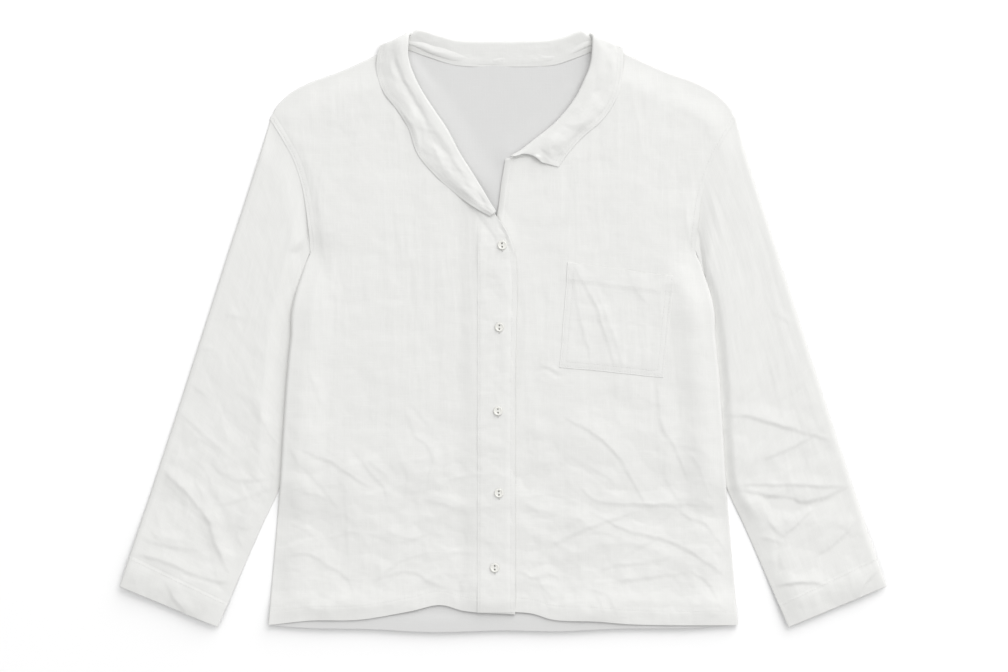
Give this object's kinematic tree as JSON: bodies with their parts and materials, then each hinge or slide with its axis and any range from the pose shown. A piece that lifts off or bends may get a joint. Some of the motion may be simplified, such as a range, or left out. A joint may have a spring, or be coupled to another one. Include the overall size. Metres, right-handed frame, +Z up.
{
  "type": "button-up shirt",
  "caption": "Long-sleeved button-up shirt of crumpled cloth, laid flat on its back: turned-down collar, overlapping buttoned front, breast pocket and turned hems.",
  "frame": {"origin": "middle of the bounding box's underside, on the surface that the shirt lies on", "axes": "+X across the shirt towards the wearer's left sleeve, +Y from the hem to the collar, +Z up out of the front"},
  "size_m": [0.842, 0.6616, 0.0139],
  "materials": {
    "linen": "crumpled white plain-weave linen, matt",
    "button": "pale cream, soft sheen"
  },
  "bodies": {
    "root": {"back": "linen", "front_right": "linen", "front_left": "linen", "placket": "linen", "pocket": "linen", "collar": "linen", "sleeve_right": "linen", "sleeve_left": "linen", "button_1": "button", "button_2": "button", "button_3": "button", "button_4": "button", "button_5": "button"}
  },
  "joints": []
}
